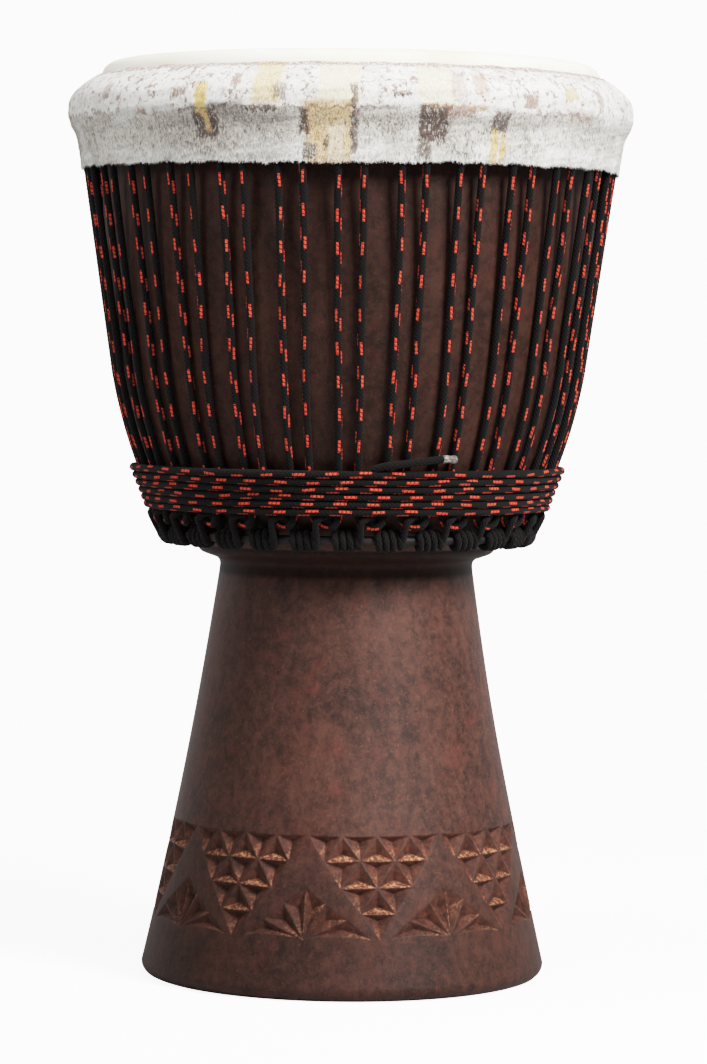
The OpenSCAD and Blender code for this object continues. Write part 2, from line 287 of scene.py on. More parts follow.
class Value:
    """A number in a node tree, with arithmetic."""

    def __init__(self, paint, socket):
        self.paint, self.socket = paint, socket

    def _math(self, kind, other, swap=False):
        a, b = (other, self) if swap else (self, other)
        return self.paint.math(kind, a, b)

    def __add__(self, other):
        return self._math("ADD", other)

    def __sub__(self, other):
        return self._math("SUBTRACT", other)

    def __rsub__(self, other):
        return self._math("SUBTRACT", other, True)

    def __mul__(self, other):
        return self._math("MULTIPLY", other)

    __radd__ = __add__
    __rmul__ = __mul__


class Paint:
    """Short way to write a procedural material, or the world's."""

    def __init__(self, name, shelf=bpy.data.materials, surface="Principled BSDF"):
        self.material = shelf.new(name)
        self.material.use_nodes = True
        self.tree = self.material.node_tree
        self.surface = self.tree.nodes[surface]

    def feed(self, socket, value):
        if isinstance(value, Value):
            self.tree.links.new(value.socket, socket)
        elif isinstance(value, bpy.types.NodeSocket):
            self.tree.links.new(value, socket)
        elif isinstance(value, tuple) and socket.type == "RGBA":
            socket.default_value = (*value, 1)
        else:
            socket.default_value = value

    def node(self, kind, inputs, **settings):
        node = self.tree.nodes.new(kind)
        for key, value in settings.items():
            setattr(node, key, value)
        for key, value in inputs.items():
            self.feed(node.inputs[key], value)
        return node

    def math(self, kind, a, b=0.0):
        return Value(self, self.node("ShaderNodeMath", {0: a, 1: b}, operation=kind).outputs[0])

    def cos(self, x):
        return self.math("COSINE", x)

    def abs(self, x):
        return self.math("ABSOLUTE", x)

    def most(self, a, b):
        return self.math("MAXIMUM", a, b)

    def attribute(self, name):
        return Value(self, self.node("ShaderNodeAttribute", {}, attribute_name=name).outputs["Fac"])

    def place(self):
        """Position in metres, fixed to the piece."""
        return self.node("ShaderNodeTexCoord", {}).outputs["Object"]

    def parts(self, vector):
        out = self.node("ShaderNodeSeparateXYZ", {0: vector}).outputs
        return [Value(self, o) for o in out]

    def join(self, x, y, z):
        return self.node("ShaderNodeCombineXYZ", {0: x, 1: y, 2: z}).outputs[0]

    def stretch(self, vector, x, y, z):
        return self.node("ShaderNodeVectorMath", {0: vector, 1: (x, y, z)}, operation="MULTIPLY").outputs[0]

    def noise(self, vector, scale, detail=4.0, rough=0.55, bend=0.0):
        inputs = {"Vector": vector, "Scale": scale, "Detail": detail, "Roughness": rough, "Distortion": bend}
        return Value(self, self.node("ShaderNodeTexNoise", inputs).outputs["Fac"])

    def cells(self, vector, scale):
        node = self.node("ShaderNodeTexVoronoi", {"Vector": vector, "Scale": scale})
        return Value(self, node.outputs["Distance"])

    def wrap(self, x, period):
        """x brought into plus or minus half a period."""
        node = self.node("ShaderNodeMath", {0: x, 1: period / 2, 2: -period / 2}, operation="WRAP")
        return Value(self, node.outputs[0])

    def step(self, x, low, high):
        """0 below low, 1 above high, smooth between."""
        inputs = {"Value": x, "From Min": low, "From Max": high}
        node = self.node("ShaderNodeMapRange", inputs, interpolation_type="SMOOTHSTEP")
        return Value(self, node.outputs["Result"])

    def mix(self, share, a, b):
        """Colour a with a share of colour b."""
        node = self.node("ShaderNodeMix", {}, data_type="RGBA", clamp_factor=True)
        self.feed(node.inputs[0], share)
        self.feed(node.inputs[6], a)
        self.feed(node.inputs[7], b)
        return node.outputs[2]

    def bump(self, height, depth, strength):
        inputs = {"Height": height, "Distance": depth, "Strength": strength}
        return self.node("ShaderNodeBump", inputs).outputs[0]

    def finish(self, **inputs):
        for key, value in inputs.items():
            self.feed(self.surface.inputs[key.replace("_", " ")], value)
        return self.material


def srgb(r, g, b):
    """Linear colour from the usual 0-255 screen values."""
    return tuple(((c / 255 + 0.055) / 1.055) ** 2.4 if c > 10 else c / 255 / 12.92 for c in (r, g, b))


def wood_paint():
    """Dark stained hardwood: mottled stain, fine grain up the drum, bare wood where carving is worn and as a
    painted highlight on carved facets facing up or right, and painted shade.
    """
    p = Paint("shell_wood")
    where = p.place()
    grain = p.noise(p.stretch(where, 1, 1, 0.2), 760, 5, 0.65, 0.3)
    streak = p.noise(p.stretch(where, 1, 1, 0.45), 110, 6, 0.7, 0.8)
    mottle = p.noise(where, 165, 8, 0.78, 0.3)
    cloud = p.noise(where, 14, 4, 0.5)
    speck = p.noise(where, 520, 3, 0.7)
    tone = p.step(mottle * 0.5 + streak * 0.3 + cloud * 0.2, 0.38, 0.62)
    base = p.mix(tone, srgb(40, 23, 18), srgb(84, 53, 43))
    base = p.mix(p.step(p.noise(where, 60, 6, 0.7), 0.5, 0.7) * 0.4, base, srgb(96, 46, 37))
    base = p.mix(p.step(speck, 0.56, 0.74) * 0.5, base, srgb(116, 74, 58))
    base = p.mix(p.step(grain, 0.58, 0.76) * 0.45, base, srgb(36, 21, 17))
    pit = p.attribute("pit")
    wear_and_highlight = p.attribute("wear_and_highlight")
    fresh = p.mix(p.step(p.noise(where, 190, 6, 0.7), 0.38, 0.66), srgb(52, 26, 19), srgb(108, 60, 43))
    base = p.mix(p.step(pit, 0.02, 0.2) * 0.6, base, fresh)
    # painted shade in the deepest part of the pits
    groove_shade = p.step(pit, 0.7, 1.0) * p.step(mottle, 0.35, 0.6)
    base = p.mix(groove_shade * 0.7, base, srgb(34, 18, 13))
    rub_and_light = p.noise(where, 420, 5, 0.75)
    # bare wood where stain has rubbed off the ridges; on carved facets facing up or right the same colour is
    # partly a painted highlight
    bare_and_lit = p.mix(p.step(rub_and_light, 0.48, 0.66), srgb(146, 84, 58), srgb(226, 168, 126))
    base = p.mix(wear_and_highlight * p.step(rub_and_light, 0.40, 0.56) * 0.8, base, bare_and_lit)
    # painted shade from the shell's shade attribute, which also lowers the gloss
    shade = p.attribute("shade")
    base = p.mix(shade, base, srgb(24, 14, 11))
    gloss = 0.48 + 0.2 * mottle + 0.15 * p.step(pit, 0.0, 0.1)
    height = grain * 0.5 + mottle * 0.9 + speck * 0.3
    return p.finish(Base_Color=base, Roughness=gloss, Normal=p.bump(height, 0.0006, 0.4),
                    Specular_IOR_Level=0.26 - 0.2 * shade)


def braid_height(p, along, cos_a, sin_a):
    """Height of the crossing strands of a braid, and the angle round the rope."""
    way = p.math("ARCTAN2", sin_a, cos_a)
    turn = along * (TAU / BRAID_PITCH)
    strand_a = p.cos(turn * 0.5 + way * (BRAID_LOBES / 2))
    strand_b = p.cos(turn * 0.5 - way * (BRAID_LOBES / 2))
    return p.abs(strand_a * strand_b), way


FLECK_PERIOD = 20.8


def rope_paint(name, flecks):
    """Braided cord, near black, with short red flecks where coloured picks surface."""
    p = Paint(name)
    along = p.attribute("along")
    knit, way = braid_height(p, along, p.attribute("way_cos"), p.attribute("way_sin"))
    where = p.join(along * 0.12, p.attribute("way_cos"), p.attribute("way_sin"))
    fuzz = p.noise(where, 9, 5, 0.7)
    patch = p.noise(p.stretch(where, 0.02, 0.2, 0.2), 4, 2)
    base = p.mix(p.step(fuzz, 0.35, 0.75), srgb(7, 6, 6), srgb(25, 20, 19))
    base = p.mix(p.step(patch, 0.55, 0.8) * 0.3, base, srgb(40, 32, 29))
    if flecks:
        drift = (p.noise(p.join(along * 0.012, 0.0, 0.0), 1.0, 1) - 0.5) * 4.5
        for start, lean, strength in ((0.0, 0.0, 1.0), (5.7, -1.35, 0.8)):
            near = p.abs(p.wrap(along + start, FLECK_PERIOD))
            off = p.abs(p.wrap(way - drift + lean, TAU))
            mask = (1.0 - p.step(near, 3.5, 4.3)) * (1.0 - p.step(off, 0.27, 0.42))
            picks = p.step(p.abs(p.cos(along * (math.pi / BRAID_PITCH) + way * 0.8)), 0.12, 0.5)
            red = p.mix(fuzz, srgb(190, 26, 20), srgb(248, 104, 76))
            base = p.mix(mask * picks * strength, base, red)
    height = knit + fuzz * 0.35
    return p.finish(Base_Color=base, Roughness=0.85, Normal=p.bump(height, 0.0005, 0.8),
                    Sheen_Weight=0.03, Sheen_Roughness=0.5, Specular_IOR_Level=0.14)


def head_paint():
    """Shaved goat skin: cream, faintly mottled, with a darker line down the spine and pores."""
    p = Paint("head_skin")
    where = p.place()
    x, y = p.parts(where)[:2]
    cloud = p.noise(where, 16, 6, 0.6, 0.5)
    pores = p.cells(where, 900)
    spine = 1.0 - p.step(p.abs(x * 0.9 + y * 0.35 + cloud * 0.02 - 0.01), 0.004, 0.03)
    base = p.mix(p.step(cloud, 0.35, 0.7), srgb(249, 245, 232), srgb(243, 234, 212))
    base = p.mix(spine * 0.35, base, srgb(216, 196, 160))
    freckle = p.step(p.noise(where, 130, 3, 0.6), 0.68, 0.76)
    base = p.mix(freckle * 0.35, base, srgb(196, 158, 116))
    height = cloud * 0.4 + pores * 0.5
    return p.finish(Base_Color=base, Roughness=0.55 + 0.2 * cloud, Normal=p.bump(height, 0.0003, 0.5),
                    Subsurface_Weight=0.15, Subsurface_Scale=0.004)


# Patches of the hair, middle and half width in degrees from the front, lowest and highest point,
# colour, share and softness of the edge
CREAM = (250, 240, 212)
TAN = (226, 190, 140)
BROWN = (150, 112, 92)
UMBER = (84, 64, 55)
SOOT = (120, 110, 101)
HAIR_PATCHES = (
    (-27, 15, 530, 563, (158, 150, 140), 0.45, 5.0), (14, 7, 530, 560, (176, 168, 158), 0.35, 5.0),
    (-2.2, 4.0, 565, 600, CREAM, 1.0, 1.2), (-4.4, 4.6, 520, 566, TAN, 0.85, 1.6),
    (-3.0, 1.6, 524, 552, CREAM, 0.5, 2.0), (-9.0, 0.9, 546, 561, UMBER, 0.85, 1.0),
    (-8.2, 1.3, 530, 540, SOOT, 0.9, 1.0), (-4.7, 0.6, 537, 544, UMBER, 0.8, 0.6),
    (0.7, 0.7, 534, 577, UMBER, 0.75, 0.7), (9.9, 1.6, 569, 572, UMBER, 0.8, 0.6),
    (-16.5, 2.9, 564, 592, (238, 208, 150), 0.8, 2.6), (-13.6, 1.3, 567, 576, UMBER, 0.6, 1.4),
    (-22.7, 1.0, 575, 583, BROWN, 0.8, 0.9), (-18.0, 3.4, 560, 562.5, UMBER, 0.75, 0.8),
    (-24.5, 3.6, 556, 566, SOOT, 0.5, 2.4), (-29.7, 2.7, 544, 562, UMBER, 0.85, 1.6),
    (-30.3, 1.3, 560, 578, (232, 196, 116), 0.95, 0.9), (-29.5, 0.8, 548, 561, (226, 188, 122), 0.9, 0.7),
    (-35.2, 1.6, 569, 575, BROWN, 0.8, 1.2), (-45.4, 1.2, 559, 563, BROWN, 0.8, 1.0),
    (-57, 1.4, 571, 580, BROWN, 0.6, 1.2), (17.0, 3.8, 564, 588, CREAM, 1.0, 1.4),
    (21.2, 1.4, 567, 585, (196, 170, 156), 0.6, 1.6), (20.5, 7.0, 562, 564.5, (196, 150, 104), 0.8, 0.8),
    (16.4, 3.0, 542, 563, UMBER, 0.92, 1.3), (14.8, 1.5, 530, 543, SOOT, 0.9, 1.6),
    (21.8, 3.0, 557, 563, BROWN, 0.7, 1.6), (26.0, 1.5, 572, 584, (206, 164, 138), 0.7, 1.6),
    (37.3, 1.7, 564, 573, BROWN, 0.8, 1.3), (30.7, 2.0, 548, 561, UMBER, 0.85, 1.5),
    (30.0, 0.8, 529, 551, (240, 200, 136), 0.95, 0.7), (32.2, 0.6, 529, 547, (236, 190, 122), 0.9, 0.6),
    (49, 2.0, 570, 579, (220, 190, 132), 0.8, 1.2), (52, 4.5, 558, 565, BROWN, 0.55, 1.8),
    (59, 0.9, 565, 577, BROWN, 0.6, 1.0), (96, 7.0, 548, 600, CREAM, 0.9, 2.0),
    (104, 3.0, 520, 556, UMBER, 0.8, 2.0), (131, 2.4, 532, 568, TAN, 0.8, 1.6),
    (150, 6.0, 566, 586, BROWN, 0.6, 2.0), (-84, 3.6, 556, 600, TAN, 0.7, 2.0),
    (-118, 6.0, 536, 566, UMBER, 0.7, 2.4), (-149, 5.0, 520, 600, CREAM, 0.85, 2.0),
    (-171, 3.0, 544, 572, SOOT, 0.8, 2.0))


def hide_paint():
    """Hair-on goat skin: bleached hair above the fold, made paler still as painted light from above, grey
    speckled hair below, patches of other colours, and a dark line along the fold that is partly painted
    shadow.
    """
    p = Paint("collar_hide")
    turn, tall, strand = p.attribute("turn"), p.attribute("tall"), p.attribute("strand")
    where = p.stretch(p.place(), 1000, 1000, 1000)
    rough = p.noise(p.stretch(where, 0.8, 0.8, 0.36), 1.0, 6, 0.75)
    fine = p.noise(p.stretch(where, 2.2, 2.2, 0.9), 1.0, 3, 0.7)
    lump = p.noise(p.stretch(where, 0.16, 0.16, 0.13), 1.0, 5, 0.65)
    blot = p.noise(p.stretch(where, 0.24, 0.24, 0.2), 1.0, 5, 0.62, 0.6)
    cloud = p.noise(p.stretch(where, 0.035, 0.035, 0.06), 1.0, 4, 0.6)
    grain = rough * 0.6 + fine * 0.25 + strand * 0.3 - 0.075
    # the paler upper zone is bleached hair and also painted light from above
    upper_paler_and_lit = p.step(tall + (lump - 0.5) * 16.0, 559.5, 564.5)
    hem = 1.0 - p.step(tall + (lump - 0.5) * 10.0, 532.0, 547.0)
    grey = p.step(0.62 - upper_paler_and_lit * 0.5 - hem * 0.4 + (cloud - 0.5) * 1.7, 0.1, 0.75)
    base = p.mix(grey, srgb(252, 250, 246), srgb(212, 206, 197))
    mottle = p.step(lump * 0.55 + rough * 0.45, 0.51, 0.6)
    base = p.mix(mottle * (0.12 + grey * 0.45), base, srgb(132, 123, 113))
    brown = p.step(blot + p.step(tall, 562.0, 574.0) * 0.035, 0.575, 0.63) * p.step(tall, 549.0, 566.0)
    base = p.mix(brown * 0.8, base, srgb(138, 98, 78))
    wide = turn + ((lump - 0.5) * 9.0 + (rough - 0.5) * 3.5) * 0.31
    high = tall + (blot - 0.5) * 10.0 + (rough - 0.5) * 11.0
    for middle, half, low, top, colour, share, soft in HAIR_PATCHES:
        side = (p.abs(wide - middle) - half) * 3.2
        ends = p.most(low - high, high - top)
        base = p.mix((1.0 - p.step(p.most(side, ends), -soft, soft)) * share, base, srgb(*colour))
    # dark line under the fold's ridge: brown spots and painted shadow
    fold = p.step(p.abs(tall - 562.0 + (lump - 0.5) * 14.0), 1.3, 0.3) * p.step(cloud, 0.46, 0.56)
    base = p.mix(fold * 0.5, base, srgb(*UMBER))
    base = p.mix(p.step(grain, 0.515, 0.59) * (0.36 + grey * 0.42), base, srgb(76, 66, 58))
    base = p.mix(p.step(grain, 0.475, 0.40) * (0.85 - grey * 0.25), base, srgb(254, 252, 249))
    crease = p.step(p.abs(tall - 589.8 + (blot - 0.5) * 3.0), 2.2, 0.8) * p.step(rough, 0.42, 0.5)
    base = p.mix(crease * 0.75, base, srgb(138, 92, 74))
    height = rough * 1.0 + fine * 0.8 + lump * 0.8
    return p.finish(Base_Color=base, Roughness=0.88, Normal=p.bump(height, 0.0009, 0.8),
                    Sheen_Weight=0.25, Sheen_Roughness=0.4, Specular_IOR_Level=0.2)


def steel_paint():
    """Dull mild steel rod with a dark skin and some rust."""
    p = Paint("ring_steel")
    where = p.place()
    scale = p.noise(where, 120, 6, 0.7)
    rust = p.step(p.noise(where, 40, 5, 0.6), 0.56, 0.7)
    base = p.mix(scale, srgb(18, 16, 15), srgb(42, 37, 35))
    base = p.mix(rust * 0.6, base, srgb(62, 36, 25))
    metal = 0.5 - 0.4 * rust
    return p.finish(Base_Color=base, Metallic=metal, Roughness=0.45 + 0.35 * scale,
                    Normal=p.bump(scale, 0.0003, 0.5))


def melted_paint():
    """Pale fused rope end, grey and slightly streaked."""
    p = Paint("melted_tip")
    where = p.place()
    cloud = p.noise(where, 420, 5, 0.7)
    base = p.mix(p.step(cloud, 0.4, 0.65), srgb(62, 55, 51), srgb(158, 149, 142))
    return p.finish(Base_Color=base, Roughness=0.5, Normal=p.bump(cloud, 0.0005, 0.6))


def cad_cord_paint():
    """Plain black cord for the hidden loops, woven by position."""
    p = Paint("hidden_cord")
    where = p.place()
    weave = p.cells(where, 700)
    fuzz = p.noise(where, 900, 4)
    base = p.mix(fuzz, srgb(16, 13, 14), srgb(52, 46, 45))
    return p.finish(Base_Color=base, Roughness=0.85, Normal=p.bump(weave + fuzz * 0.4, 0.0005, 0.8),
                    Sheen_Weight=0.2)


# ---------------- shell

COARSE, FINE_PER = 256, 5
BAND_LOW, BAND_HIGH, BAND_STEP = 36.0, 107.5, 0.56
PIT_DEPTH = 4.6
CARVE_R = 118.0              # radius at which the carving's sizes across are laid out
OPEN_WEAR_AND_LIGHT, LEFT_WEAR_AND_LIGHT, FAN_WEAR_AND_LIGHT = 0.8, 0.5, 0.5   # how far a pit's first facet, which faces up or right towards the key light, is painted in bare-wood colour: rubbed stain and painted highlight


def pyramid(x, y, corners, deep, arch=0.0):
    """Depth share of a pit with one straight facet below each edge, 1 at the deep point.
    Also how far along its first edge each point of that edge's facet lies, and 0 elsewhere."""
    level = np.full(x.shape, np.inf)
    along = np.zeros(x.shape)
    n = len(corners)
    for i in range(n):
        ax, ay = corners[i]
        bx, by = corners[(i + 1) % n]
        length = math.hypot(bx - ax, by - ay)

        def away(px, py):
            return ((bx - ax) * (py - ay) - (by - ay) * (px - ax)) / length
        inside = away(x, y)
        if arch and i == 0:
            inside = inside - arch * (1 - ((x - (ax + bx) / 2) / (abs(bx - ax) / 2)) ** 2)
        facet = inside / abs(away(*deep)) * np.sign(away(*deep))
        if i == 0:
            along = ((x - ax) * (bx - ax) + (y - ay) * (by - ay)) / length ** 2
        along = np.where(facet < level, along if i == 0 else 0, along)
        level = np.minimum(level, facet)
    return np.clip(level, 0, None), np.clip(along, 0, 1) * (level > 0)


def repeat_pits(rng):
    """Pits of one repeat: corners (mm across, mm up from the band's foot), deep point, arch of the first
    edge and share of wear and painted highlight on its facet."""
    across = TAU * CARVE_R / CARVE_REPEATS / CARVE_ROWS
    top = CARVE_ROWS * CARVE_ROW
    pits = []

    def jitter(p, size=0.45):
        return (p[0] + rng.normal() * size, p[1] + rng.normal() * size)

    def middle(a, b, tip):
        return tuple(0.37 * (a[i] + b[i]) + 0.26 * tip[i] for i in (0, 1))

    nodes = {}

    def lattice(half_steps, row):
        key = (half_steps, row)
        if key not in nodes:
            nodes[key] = jitter((half_steps * across / 2, top - row * CARVE_ROW))
        return nodes[key]

    for row in range(CARVE_ROWS):
        for j in range(CARVE_ROWS - row):
            left = row + 2 * j - CARVE_ROWS
            a, b, c = lattice(left, row), lattice(left + 2, row), lattice(left + 1, row + 1)
            pits.append(([a, c, b], middle(a, b, c), 0.0, LEFT_WEAR_AND_LIGHT))
            if j < CARVE_ROWS - row - 1:
                apex, right = lattice(left + 2, row), lattice(left + 3, row + 1)
                pits.append(([c, right, apex], middle(c, right, apex), 0.0, OPEN_WEAR_AND_LIGHT))
    return pits


def fan_chips(rng, middle):
    """The six chips of a fan, from the outline's points on one side."""
    outline = ((0, 33.5), (13.5, 23), (27, 12.5), (42, 0))
    chips = []
    for side in (-1, 1):
        points = [(middle + side * (x + rng.normal() * 0.5), y + rng.normal() * 0.4 * (y > 0))
                  for x, y in outline]
        hub = (middle, 0.0)
        for a, b in zip(points[:-1], points[1:]):
            end = ((a[0] + b[0]) / 2, (a[1] + b[1]) / 2)
            deep = (hub[0] + 0.66 * (end[0] - hub[0]), hub[1] + 0.66 * (end[1] - hub[1]))
            corners = [hub, b, a] if side > 0 else [b, hub, a]
            chips.append((corners, deep, 2.4 if b[1] == 0 else 0.0, FAN_WEAR_AND_LIGHT))
    return chips


def carved_relief(turn, z):
    """Depth in mm, pit share, and share of wear and painted highlight on facets, of the carved band at
    directions and heights.
    """
    depth, share, worn_and_lit = np.zeros_like(turn), np.zeros_like(turn), np.zeros_like(turn)
    period = 360 / CARVE_REPEATS
    rng = np.random.default_rng(7)
    y = z - CARVE_LOW
    for k in range(CARVE_REPEATS):
        offset = (turn - CARVE_TURN - k * period + 180) % 360 - 180
        near = np.abs(offset) < period
        x = np.radians(offset[near]) * CARVE_R
        yy = y[near]
        d, s, w = depth[near], share[near], worn_and_lit[near]
        features = repeat_pits(rng) + fan_chips(rng, TAU * CARVE_R / CARVE_REPEATS / 2)
        for corners, deep, arch, rub_and_light in features:
            scale = PIT_DEPTH * rng.uniform(0.85, 1.1)
            level, along = pyramid(x, yy, corners, deep, arch)
            # a pit's first facet faces up or right, towards the key light; its bare-wood share, strongest
            # near the edge, is part wear and part painted highlight
            if rub_and_light == OPEN_WEAR_AND_LIGHT:
                rubbed_and_lit = smooth(0.0, 0.1, along) * smooth(1.0, 0.9, along)
            else:
                rubbed_and_lit = smooth(0.35, 0.95, along)
            w = np.maximum(w, rub_and_light * rubbed_and_lit * (along > 0) * smooth(1.15, 0.55, level))
            level = np.minimum(level, 1.0)
            level = np.where(level > 0, np.maximum(level - 0.045, 0) / 0.955, 0)
            hollow = scale * (level * 0.82 + 0.18 * level ** 2)
            d = np.maximum(d, hollow)
            s = np.maximum(s, level)
        depth[near], share[near], worn_and_lit[near] = d, s, w
    return depth, share, worn_and_lit


def shell_rows():
    """(radius, height, fine) down the outside, across the foot, up the inside and over the rim."""
    rows = []

    def add(points, fine=False):
        rows.extend((float(r), float(z), fine) for r, z in points)

    top = HEAD_TOP - SKIN - 0.1
    add(arc(RIM_R - EDGE_ROUND, top - EDGE_ROUND, EDGE_ROUND, np.linspace(90, 0, 9)))
    add([(RIM_R, z) for z in np.linspace(580, RIM_LOW_Z + 5, 6)])
    for high, low, count in ((0, 10, 24), (10.4, 24, 26), (24.9, 51, 30)):
        add([on_bowl(t, 0) for t in np.linspace(high, low, count)])
    lip = ((98.6, 284.4), (97.9, 282.0), (95.3, 279.4), (90, 277.4), (85.4, 275.6), (83.5, 272.5),
           (WAIST_R, WAIST_Z))
    add(spline(lip, 5)[1:])
    add([(stem_radius(z), z) for z in np.arange(WAIST_Z - 3.5, BAND_HIGH + 2, -3.5)])
    add([(stem_radius(z), z) for z in np.arange(BAND_HIGH, BAND_LOW, -BAND_STEP)], True)
    add([(stem_radius(z), z) for z in np.linspace(BAND_LOW - 1.5, FOOT_ROUND + 1.5, 12)])
    add(arc(stem_radius(FOOT_ROUND) - FOOT_ROUND, FOOT_ROUND, FOOT_ROUND, np.linspace(0, -90, 8)))
    inner_foot = stem_radius(0) - FOOT_WALL
    add([(inner_foot + 4, 0), (inner_foot + 1, 1), (inner_foot, 4)])
    for z in np.linspace(12, 255, 34):
        add([(THROAT_R + (stem_radius(z) - FOOT_WALL - THROAT_R) * (1 - (z / 270) ** 2), z)])
    add([(THROAT_R, 264), (THROAT_R, 274), (61.5, 281), (64.5, 287)])
    for low, high in ((47, 24.5), (23.5, 10.4), (9.8, 0)):
        add([on_bowl(t, -WALL) for t in np.linspace(low, high, 16)])
    add([(RIM_R - WALL, z) for z in np.linspace(550, top - 4, 6)])
    add([(RIM_R - WALL + 1, top - 1), (RIM_R - WALL + 3.5, top)])
    return rows


def stitch(first, fine_first, count_coarse, flip):
    """Triangles between a coarse row and the fine row below or above it."""
    j = np.arange(count_coarse)
    n = count_coarse * FINE_PER
    a, b = first + j, first + (j + 1) % count_coarse
    tris = []
    for i in range(FINE_PER):
        f = fine_first + j * FINE_PER + i
        g = fine_first + (j * FINE_PER + i + 1) % n
        tris.append(np.stack([a if i < 3 else b, f, g], -1))
        if i == 2:
            tris.append(np.stack([a, g, b], -1))
    tris = np.vstack(tris)
    return tris[:, ::-1] if flip else tris


def make_shell(material):
    rows = shell_rows()
    points, faces, pits, wear_and_highlight_rows, shades = [], [], [], [], []
    starts = []
    total = 0
    for r, z, fine in rows:
        n = COARSE * (FINE_PER if fine else 1)
        starts.append((total, n, fine))
        turn = np.arange(n) * 360 / n
        a = np.radians(turn)
        if fine:
            depth, pit, worn_and_lit = carved_relief(turn, np.full(n, z))
        else:
            depth, pit, worn_and_lit = np.zeros(n), np.zeros(n), np.zeros(n)
        free = float(smooth(560, 500, z)) * 0.35 if z > 300 else 0.35 + 0.35 * float(smooth(300, 250, z))
        lump = wobble(a + z * 0.004, 3, (1, 2, 3, 5, 8), free) * float(z > 1)
        points.append(place(turn, r + lump * 0.5 - depth, z))
        pits.append(pit)
        wear_and_highlight_rows.append(worn_and_lit)
        inside = r < THROAT_R + 2 or (0 < z < 597 and is_inner(r, z))
        # painted shade inside the shell
        if inside:
            shades.append(np.full(n, 0.75))
        else:
            # painted shade: darker on the bowl behind the ropes, darker towards the foot, and darker on the
            # stem left of the front, away from the key light
            stem = float(smooth(292, 284, z))
            left_shade = 0.3 * np.exp(-(((turn + 48 + 180) % 360 - 180) / 30) ** 2)
            low = 0.38 * float(smooth(125, 25, z))
            shades.append(0.5 * (1 - stem) + stem * (low + left_shade * (1 - low)))
        total += n
    for (a, na, _), (b, nb, _) in zip(starts, starts[1:] + starts[:1]):
        if na == nb:
            here, after = np.arange(na), (np.arange(na) + 1) % na
            faces.append(np.stack([a + here, b + here, b + after, a + after], -1))
        elif na < nb:
            faces.append(stitch(a, b, COARSE, False))
        else:
            faces.append(stitch(b, a, COARSE, True))
    pit = np.concatenate(pits)
    wear_and_highlight = np.maximum(0.8 * ridge_wear(pits, starts), np.concatenate(wear_and_highlight_rows))
    return build_mesh("shell", np.vstack(points), faces, material,
                      {"pit": pit, "wear_and_highlight": wear_and_highlight, "shade": np.concatenate(shades)})


def is_inner(r, z):
    """Whether a point belongs to the inside of the shell."""
    if z >= 398:
        outer = 145 + (z - 398) * 0.12
    elif z < WAIST_Z:
        outer = stem_radius(z)
    else:
        outer = bowl_radius(z, 0) if z > 284.5 else RIM_R - 10
    return r < outer - 6


def ridge_wear(pits, starts):
    """1 on the sharp ridges between pits, where stain has rubbed off."""
    fine = [i for i, s in enumerate(starts) if s[2]]
    grid = np.stack([pits[i] for i in fine])
    mean = np.zeros_like(grid)
    reach = 2
    for dz in range(-reach, reach + 1):
        for dx in range(-reach, reach + 1):
            mean += np.roll(np.roll(grid, dz, 0), dx, 1)
    mean /= (2 * reach + 1) ** 2
    ridge = smooth(0.05, 0.22, mean - grid) * (grid < 0.30)
    out = [np.zeros(s[1]) for s in starts]
    for i, row in zip(fine, ridge):
        out[i] = row
    return np.concatenate(out)


# ---------------- skin

SKIN_COLS = 960


def two_sides(path, thickness):
    """Offsets from an open path in the radial plane to the outside of a sheet."""
    ahead = np.gradient(path, axis=0)
    ahead /= np.linalg.norm(ahead, axis=1)[:, None]
    return np.stack([-ahead[:, 1], ahead[:, 0]], -1) * thickness / 2


def make_membrane(material):
    """Playing surface and skirt of the head, one skin thick."""
    lap = EDGE_ROUND + 0.1 + SKIN / 2
    corner = RIM_R - EDGE_ROUND
    top = HEAD_TOP - SKIN / 2
    flat = [(r, top) for r in (0.02, 2, 6, 12, 20, 32, 46, 62, 80, 98, 114, 128, 140, 148, 152)]
    skirt = [(corner + lap, z) for z in (588, 585, 580, 575, 570, 565, 560, 556, 552, 549.8)]
    path = np.vstack([flat, arc(corner, top - lap, lap, np.linspace(88, 2, 14)), skirt])
    side = two_sides(path, SKIN)
    cols = 360
    turn = np.arange(cols) * 360 / cols
    rows = []
    for outer in (1, -1):
        for i in range(len(path))[::outer]:
            r, z = path[i] + outer * side[i]
            dip = -0.25 * float(smooth(150, 60, r)) if z > 590 else 0.0
            rows.append(place(turn, max(r, 0.01), z + dip))
    faces = [ring_quads(len(rows), cols, closed_rows=True)[:, ::-1]]
    return build_mesh("head_skin", np.vstack(rows), faces, material)


def fold_path():
    """Middle of the hidden part of the skin: round the flesh ring, up, and over the crease."""
    wrap = 3.65      # from the rod's middle to the skin's
    turn = 3.0       # radius of the bend above the flesh ring
    rise = RIM_R + 2.0
    return np.vstack([arc(*FLESH, wrap, range(200, 441, 16)),
                      arc(rise + turn, FLESH[1] + wrap + turn, turn, range(265, 179, -17)),
                      [(rise, z) for z in (566, 576, 586.5)],
                      arc(rise + 1.6, 588.6, 1.6, (165, 130, 95, 68))])


HIDE = 1.1               # thickness of the collar's skin
COLLAR_R = 185.95        # the collar's skin stays inside this radius
FALL = spline([(167.6, 590.0), (172, 587.2), (177.4, 583.2), (181.9, 578.6), (184.4, 574.5),
               (184.95, 571.2), (185.0, 565.5), (183.3, 558.8), (180.0, 552.5), (178.8, 547),
               (177.7, 538.6), (176.5, 529.8)], 9)
FALL_SIDE = two_sides(FALL, HIDE)
FALL_ALONG = np.concatenate([[0], np.cumsum(np.linalg.norm(np.diff(FALL, axis=0), axis=1))])


